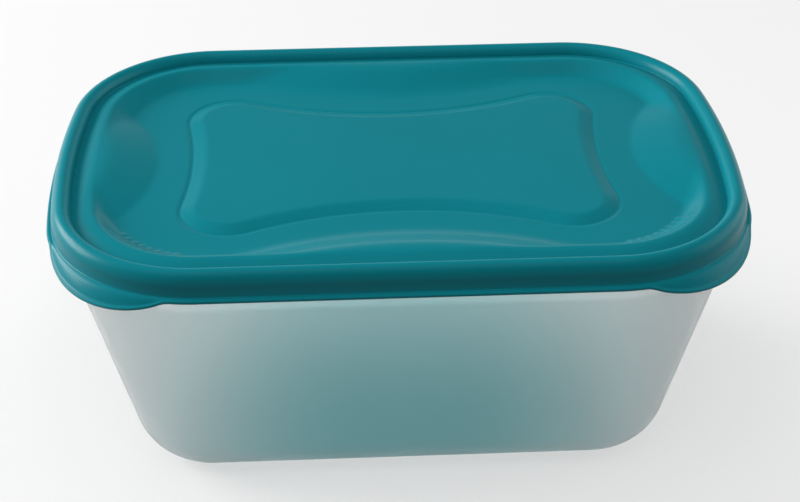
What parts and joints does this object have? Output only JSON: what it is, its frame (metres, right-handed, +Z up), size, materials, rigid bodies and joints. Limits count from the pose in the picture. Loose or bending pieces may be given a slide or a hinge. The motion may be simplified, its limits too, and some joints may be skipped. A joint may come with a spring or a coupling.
{
  "type": "food storage container",
  "caption": "Rectangular food storage tub with drafted walls and a rounded base, closed by a push-on lid with a rounded rim, a sunk panel and corner tabs.",
  "frame": {"origin": "centre of the base, on the surface the tub stands on", "axes": "+X along the long side, +Y across to the back, +Z up"},
  "size_m": [0.2056, 0.1412, 0.0875],
  "materials": {
    "tub": "natural polypropylene, frosted and translucent",
    "lid": "teal polypropylene, injection moulded, satin"
  },
  "bodies": {
    "root": {"tub": "tub", "lid": "lid"}
  },
  "joints": []
}
